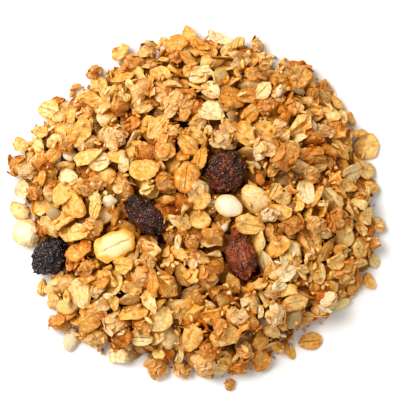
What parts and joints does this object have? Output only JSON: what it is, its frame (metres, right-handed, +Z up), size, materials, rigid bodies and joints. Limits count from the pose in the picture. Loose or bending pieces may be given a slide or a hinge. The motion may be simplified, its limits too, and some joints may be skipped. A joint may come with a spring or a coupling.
{
  "type": "heap of muesli",
  "caption": "Loose round heap of toasted oat-flake muesli with baked clusters, raisins and nuts, lying on its flat base.",
  "frame": {"origin": "on the surface that the heap lies on, under the middle of the heap", "axes": "+Z up through the top of the heap; +Y towards the far side seen from the front, +X to the right"},
  "size_m": [0.1131, 0.11, 0.0239],
  "materials": {
    "toasted_oats": "dry toasted oat flakes and baked clusters, golden with pale cream and brown edges",
    "raisin": "wrinkled purple-black skin with small soft glints",
    "red_raisin": "wrinkled red-brown skin, slightly see-through, with small soft glints",
    "nut": "smooth cream nut flesh with a yellow toasted rim"
  },
  "bodies": {
    "root": {"heap": "toasted_oats", "raisin_round": "raisin", "raisin_long": "raisin", "raisin_rim": "raisin", "raisin_red": "red_raisin", "nut_half": "nut", "almond_slice": "nut", "puffed_grain": "nut", "stray_flake": "toasted_oats", "stray_seed": "toasted_oats", "stray_crumb": "toasted_oats"}
  },
  "joints": []
}
